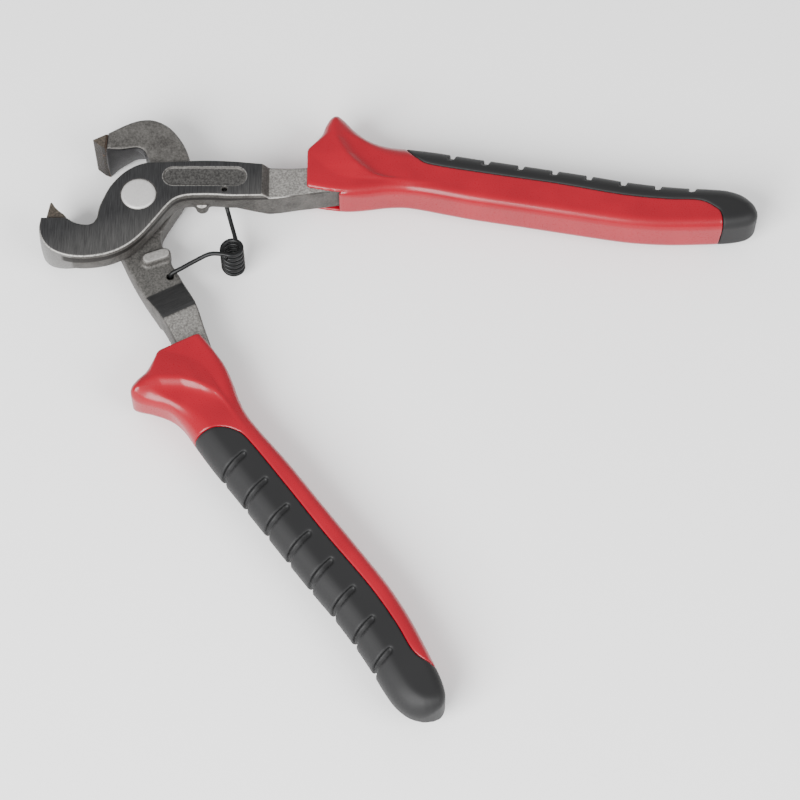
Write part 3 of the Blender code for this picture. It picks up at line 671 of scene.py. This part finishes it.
# The mouth that the tang enters, and the notch in the inner side beside it.
MOUTH_X, MOUTH_MIDDLE, MOUTH_HALF = 52.7, 0.5, 5.0
NOTCH_X, NOTCH_Y = 62.8, 6
INSIDE_SLOPE = 0.2


def grip_half(x, y):
    """Half the grip's thickness.  It rises to a ridge that runs from the guard's peak to the inner crease,
    falls in a flat facet to the mouth, and dips in a hollow for the thumb behind the ridge."""
    ridge_x, ridge_y = np.array(RIDGE).T
    ahead = np.interp(y, ridge_y, ridge_x) - x
    crest = GRIP_HALF + RIDGE_RISE * ease(y, 5.5, 13)
    facet = crest - (crest - RIM_HALF) * np.clip(ahead / FACET_LENGTH, 0, 1)
    hollow = HOLLOW_HALF + (GRIP_HALF - HOLLOW_HALF) * ease(x, 73, 86)
    behind = hollow + (crest - hollow) * np.exp(-(ahead / RIDGE_WIDTH) ** 2)
    return np.where(ahead > 0, facet, behind)


def groove_field(x, y, z, body, centre, top, reach):
    """One finger groove: round-ended, cut to an even depth below the cushion's skin."""
    shift = x - centre + GROOVE_SLANT * (top - y)
    end = top - reach * (GROOVE_REACH - GROOVE_REACH_BY_Z * z)
    return both(np.hypot(shift, np.minimum(y - end, 0)) - GROOVE_RADIUS, -GROOVE_DEPTH - body, 0.3)


def grip_field(part):
    outline = np.vstack([flowing(GRIP_OUTER)[:-1], flowing(GRIP_INNER)])
    # The two sides up to where they turn round the grip's end, as y over x.
    outer = flowing(GRIP_OUTER)[:-12]
    inner = flowing(GRIP_INNER[2:])[::-1]
    border = np.vstack([flowing(CUSHION_BORDER), [(210, -20), (210, 34)]])
    tang = np.vstack([flowing([(TANG_SHOWN, 2.6), (60, 2.0), (50, 0.6)]), [(40, 0), (40, 12)],
                      flowing([(48, 11.5), (60, 12.4), (TANG_SHOWN, 13.0)])])

    def field(x, y, z):
        side = outline_distance(outline, x, y)
        top = np.interp(x, outer[:, 0], outer[:, 1])
        bottom = np.interp(x, inner[:, 0], inner[:, 1])
        share = np.clip((y - bottom) / (top - bottom), 0, 1)
        guard = ease(-x, -76, -64)
        radius = 2.1 + 1.2 * ease(x, 56, 74) + 2.8 * ease(y, 18, 25) * guard
        radius = radius + (3.4 * ease(x, 68, 84) - 1.2 * guard) * ease(share, 0.15, 0.8)
        half = grip_half(x, y)
        reach = np.maximum(side + radius, 0)
        depth = np.maximum(np.abs(z) - half + radius, 0)
        body = np.hypot(reach, depth) - radius
        body = body + np.minimum(np.maximum(side, np.abs(z) - half) + radius, 0) * INSIDE_SLOPE
        seam = outline_distance(border, x, y - CUSHION_TILT * z)
        if part == "cushion":
            skin = body
            for i, centre in enumerate(GROOVES):
                crown = np.interp(centre, outer[:, 0], outer[:, 1])
                shorter = 1.0 - 0.3 * ease(i, 4, 8)
                body = without(body, groove_field(x, y, z, skin, centre, crown, shorter), 0.35)
            return both(body, seam + SEAM_GAP, SEAM_ROUNDING)
        body = both(body, MOUTH_X - x, 0.7)
        body = without(body, seam - SEAM_GAP, SEAM_ROUNDING)
        opening = both(outline_distance(tang, x, y), x - TANG_SHOWN - 0.2)
        notch = both(x - NOTCH_X, y - NOTCH_Y)
        return without(body, both(either(opening, notch), np.abs(z - MOUTH_MIDDLE) - MOUTH_HALF), 0.7)

    return field


GRIP_PARTS = [("shell", RED, "red_plastic", (51, -13, -9), (196, 34, 9)),
              ("cushion", BLACK, "black_cushion", (82, -13, -9), (196, 23, 9))]


def make_grip(side, frame_matrix, body):
    for part, look, slot, low, high in GRIP_PARTS:
        name = f"{side}_grip_{part}"
        points, faces = net(grip_field(part), low, high, GRIP_CELL)
        piece(name, mesh_from(name, points, faces, frame_matrix), body, slot, look)


# ---------------------------------------------------------------- rivet

RIVET_STEPS = 96


def make_rivet():
    """Both heads and the shank, turned from one profile."""
    top, radius = HEAD_TOP, RIVET_RADIUS
    profile = [(0, top), (radius - 1.0, top), (radius - 0.35, top - 0.08), (radius - 0.1, top - 0.3),
               (radius, top - 0.7), (radius, top - 1.5), (radius - 1, top - 1.6)]
    profile += [(r, -z) for r, z in reversed(profile)]
    points = []
    faces = []
    for i in range(RIVET_STEPS):
        angle = 2 * math.pi * i / RIVET_STEPS
        points += [(r * math.cos(angle), r * math.sin(angle), z) for r, z in profile]
    rows = len(profile)
    for i in range(RIVET_STEPS):
        for j in range(rows - 1):
            a, b = i * rows + j, (i + 1) % RIVET_STEPS * rows + j
            faces.append((a, a + 1, b + 1, b))
    mesh = mesh_from("rivet", points, faces, FRONT_FRAME)
    shape = bmesh.new()
    shape.from_mesh(mesh)
    bmesh.ops.remove_doubles(shape, verts=shape.verts, dist=1e-7)
    bmesh.ops.recalc_face_normals(shape, faces=shape.faces)
    shape.to_mesh(mesh)
    shape.free()
    piece("pivot_rivet", mesh, FRONT_BODY, "rivet_steel", RIVET)


# ---------------------------------------------------------------- spring

WIRE_RADIUS = 0.7
WIRE_SIDES = 16
COIL_RADIUS = 3.1
COIL_PITCH = 2.3
COIL_TURNS = 5
# In degrees round the coil: how far it goes past its full turns, the rear leg's share, and their gap.
COIL_PAST, REAR_TURN, TURN_GAP = 102, 338, 12
LEG_LENGTH = 20.2
LEG_SAG = -0.7


def turned(point, degrees):
    """A point turned about the pivot."""
    return np.array(Matrix.Rotation(math.radians(degrees), 2) @ Vector(point))


def spring_runs():
    """The wire's two runs, from the lap centre: the coil with its front leg, and the rear leg."""
    hole = np.array(SPRING_HOLE)
    middle = turned((1, 0), -OPEN_ANGLE / 2)
    along = hole @ middle
    aside = np.linalg.norm(hole - along * middle)
    centre = (along + math.sqrt(LEG_LENGTH ** 2 - aside ** 2)) * middle
    back = turned((SPRING_HOLE[0], -SPRING_HOLE[1]), -OPEN_ANGLE)
    out = hole - centre
    first = math.degrees(math.atan2(out[1], out[0]) - math.acos(COIL_RADIUS / np.linalg.norm(out)))
    sweep = 360 * COIL_TURNS + first + COIL_PAST
    half_height = COIL_PITCH * sweep / 720

    def winding(start, end, steps):
        swept = np.linspace(start, end, steps + 1)
        angle = np.radians(first - swept)
        return np.column_stack([centre[0] + COIL_RADIUS * np.cos(angle),
                                centre[1] + COIL_RADIUS * np.sin(angle),
                                COIL_PITCH * swept / 360 - half_height])

    joint = sweep - REAR_TURN
    coil = winding(0, joint - TURN_GAP, 210)
    start = np.array([hole[0] + 0.12, hole[1] - 0.5, -1.1])
    share = np.linspace(0, 1, 9)[:-1, None]
    leg = start + (coil[0] - start) * share + np.array([0, 0, LEG_SAG]) * np.sin(math.pi * share)
    bend = flowing([(*hole, 7.4), (*hole, 3.0), (*hole, 0.2), leg[0], leg[1]])[:-RUN_STEPS]
    ring = winding(joint, sweep, 54)
    rear = flowing([ring[-1], (26.2, -20.4, 5.8), (22.6, -20.2, 5.2), (18.3, -21.6, 3.6), (14.1, -23.4, 2.2),
                    (back[0] + 0.75, back[1] + 0.35, 1.1), (*back, 0.2), (*back, -2.0), (*back, -6.0)])
    return np.vstack([bend, leg[1:], coil]), np.vstack([ring, rear[1:]])


def tube(run, radius):
    """A round wire along a run, open at its ends, as (points, quads)."""
    ahead = np.gradient(run, axis=0)
    ahead /= np.linalg.norm(ahead, axis=1, keepdims=True)
    off_the_run = (0.3, 0.5, 0.8)
    across = np.cross(ahead[0], off_the_run)
    rings = []
    for spot, way in zip(run, ahead):
        across = across - (across @ way) * way
        across /= np.linalg.norm(across)
        other = np.cross(way, across)
        turns = 2 * math.pi * np.arange(WIRE_SIDES) / WIRE_SIDES
        rings.append(spot + radius * (np.cos(turns)[:, None] * across + np.sin(turns)[:, None] * other))
    points = np.vstack(rings)
    i = np.arange(len(run) - 1)[:, None] * WIRE_SIDES
    j = np.arange(WIRE_SIDES)[None, :]
    k = (j + 1) % WIRE_SIDES
    quads = np.stack([i + j, i + k, i + WIRE_SIDES + k, i + WIRE_SIDES + j], axis=-1).reshape(-1, 4)
    return points, quads


def make_spring():
    coil, rear_leg = spring_runs()
    for name, run, body in (("spring_coil", coil, "spring_coil_body"),
                            ("spring_rear_leg", rear_leg, "spring_leg_body")):
        points, quads = tube(run, WIRE_RADIUS)
        mesh = mesh_from(name, points, quads, FRONT_FRAME)
        shape = bmesh.new()
        shape.from_mesh(mesh)
        bmesh.ops.holes_fill(shape, edges=shape.edges, sides=0)
        bmesh.ops.recalc_face_normals(shape, faces=shape.faces)
        shape.to_mesh(mesh)
        shape.free()
        piece(name, mesh, body, "spring_steel", OXIDE)


# ---------------------------------------------------------------- the object

make_lever("front", FRONT_FRAME, FRONT_BODY, lever_steel("front"))
make_lever("rear", REAR_FRAME, REAR_BODY, lever_steel("rear"))
make_grip("front", FRONT_FRAME, FRONT_BODY)
make_grip("rear", REAR_FRAME, REAR_BODY)
make_rivet()
make_spring()
for name, look, slot in (("front_carbide_tip", CARBIDE, "carbide"), ("rear_carbide_tip", CARBIDE, "carbide"),
                         ("front_braze_layer", COPPER, "braze"), ("rear_braze_layer", COPPER, "braze")):
    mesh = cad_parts[name].data
    mesh.materials.clear()
    mesh.materials.append(look)

# ---------------------------------------------------------------- studio

FLOOR_Z = CAD_BOX[0][2]
FLOOR_REACH = 6.0
TOOL_MIDDLE = (0.05, -0.06, 0)
CAMERA_TARGET = Vector((0.0821, -0.0687, LAP_Z))
CAMERA_FROM_TARGET = Vector((0, -0.3886, 0.7433))
LENS_MM, SENSOR_MM = 123.75, 36
NEAR_CLIP = 0.01


def make_floor():
    mesh = bpy.data.meshes.new("floor")
    corners = [(-1, -1), (1, -1), (1, 1), (-1, 1)]
    mesh.from_pydata([(FLOOR_REACH * x, FLOOR_REACH * y, FLOOR_Z) for x, y in corners], [], [(0, 1, 2, 3)])
    floor = bpy.data.objects.new("floor", mesh)
    SCENE.collection.objects.link(floor)
    n = Nodes("floor_paper")
    n.finish(Base_Color=(0.95, 0.95, 0.95, 1), Roughness=0.9)
    n.shader.inputs["Specular IOR Level"].default_value = 0.1
    mesh.materials.append(n.material)


def make_light(name, centre, size, power):
    """A soft rectangular lamp aimed at the tool's middle."""
    light = bpy.data.lights.new(name, "AREA")
    light.shape = "RECTANGLE"
    light.size, light.size_y = size
    light.energy = power
    obj = bpy.data.objects.new(name, light)
    SCENE.collection.objects.link(obj)
    obj.location = centre
    obj.rotation_euler = (Vector(TOOL_MIDDLE) - Vector(centre)).to_track_quat("-Z", "Y").to_euler()


def make_world(colour, strength):
    world = bpy.data.worlds.new("studio")
    world.use_nodes = True
    background = world.node_tree.nodes["Background"]
    background.inputs["Color"].default_value = (*colour, 1)
    background.inputs["Strength"].default_value = strength
    SCENE.world = world


def make_camera():
    camera = bpy.data.objects.new("camera", bpy.data.cameras.new("camera"))
    SCENE.collection.objects.link(camera)
    camera.location = CAMERA_TARGET + CAMERA_FROM_TARGET
    camera.rotation_euler = (CAMERA_TARGET - camera.location).to_track_quat("-Z", "Y").to_euler()
    camera.data.sensor_width = SENSOR_MM
    camera.data.lens = LENS_MM
    camera.data.clip_start = NEAR_CLIP
    SCENE.camera = camera


make_floor()
make_world((1, 1, 1), strength=0.8)
make_light("key", (-0.5, -0.85, 0.75), size=(0.8, 0.8), power=34.0)
make_light("fill", (0.75, -0.55, 0.7), size=(0.6, 0.6), power=8.0)
make_camera()
